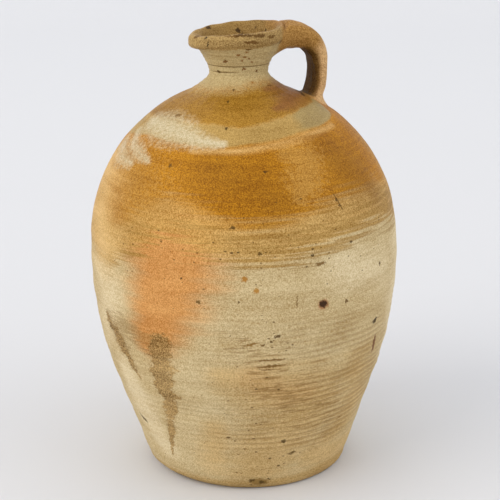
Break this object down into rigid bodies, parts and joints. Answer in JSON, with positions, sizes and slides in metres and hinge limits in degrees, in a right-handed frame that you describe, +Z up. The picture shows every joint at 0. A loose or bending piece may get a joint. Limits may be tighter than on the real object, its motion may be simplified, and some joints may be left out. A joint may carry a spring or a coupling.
{
  "type": "stoneware jug",
  "caption": "Tall stoneware storage jug with a full belly, narrow collared neck, pulled pouring lip and a strap handle.",
  "frame": {"origin": "middle of the flat base, on the surface that the jug stands on", "axes": "+Z up along the jug's thrown axis, +X towards the handle, -X towards the pouring lip"},
  "size_m": [0.249, 0.249, 0.3609],
  "materials": {
    "clay_lower": "wood-fired unglazed stoneware, satin, tan with darker runs",
    "clay_upper": "wood-fired unglazed stoneware, satin, ochre speckle",
    "clay_neck": "wood-fired unglazed stoneware, satin, pale khaki with specks",
    "clay_handle": "wood-fired unglazed stoneware, satin, orange ochre"
  },
  "bodies": {
    "root": {"lower_body": "clay_lower", "upper_body": "clay_upper", "neck": "clay_neck", "handle": "clay_handle", "root_lute": "clay_handle", "tail_lute": "clay_handle"}
  },
  "joints": []
}
